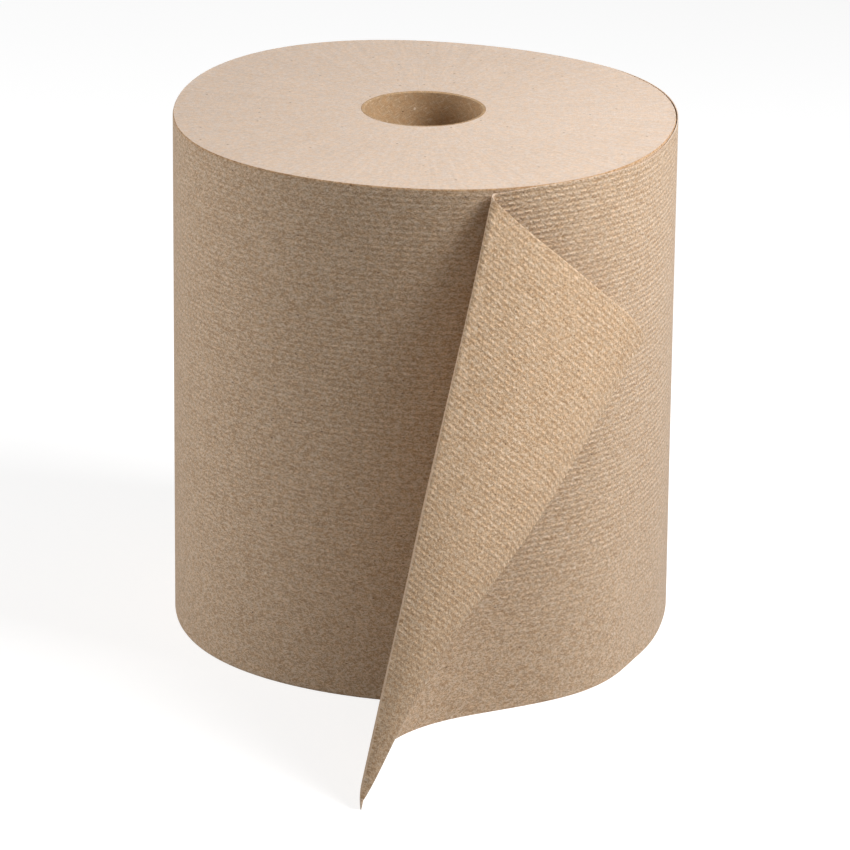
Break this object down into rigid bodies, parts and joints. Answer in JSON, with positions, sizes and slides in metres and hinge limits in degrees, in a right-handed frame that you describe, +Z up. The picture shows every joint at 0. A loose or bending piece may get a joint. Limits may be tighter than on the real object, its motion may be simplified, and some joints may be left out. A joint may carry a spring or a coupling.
{
  "type": "paper towel roll",
  "caption": "Hard-wound paper hand towel roll on a paperboard core, standing on end with a loose tail and a folded-over corner.",
  "frame": {"origin": "on the core's axis, in the plane of the end that the roll stands on", "axes": "+Z up along the core's axis; the tail leaves the wall at the front right and its tip reaches out to -Y"},
  "size_m": [0.1945, 0.2959, 0.203],
  "materials": {
    "core_board": "matte",
    "towel_paper": "matte, creped and embossed"
  },
  "bodies": {
    "root": {"core_tube": "core_board", "wound_towel": "towel_paper"}
  },
  "joints": []
}
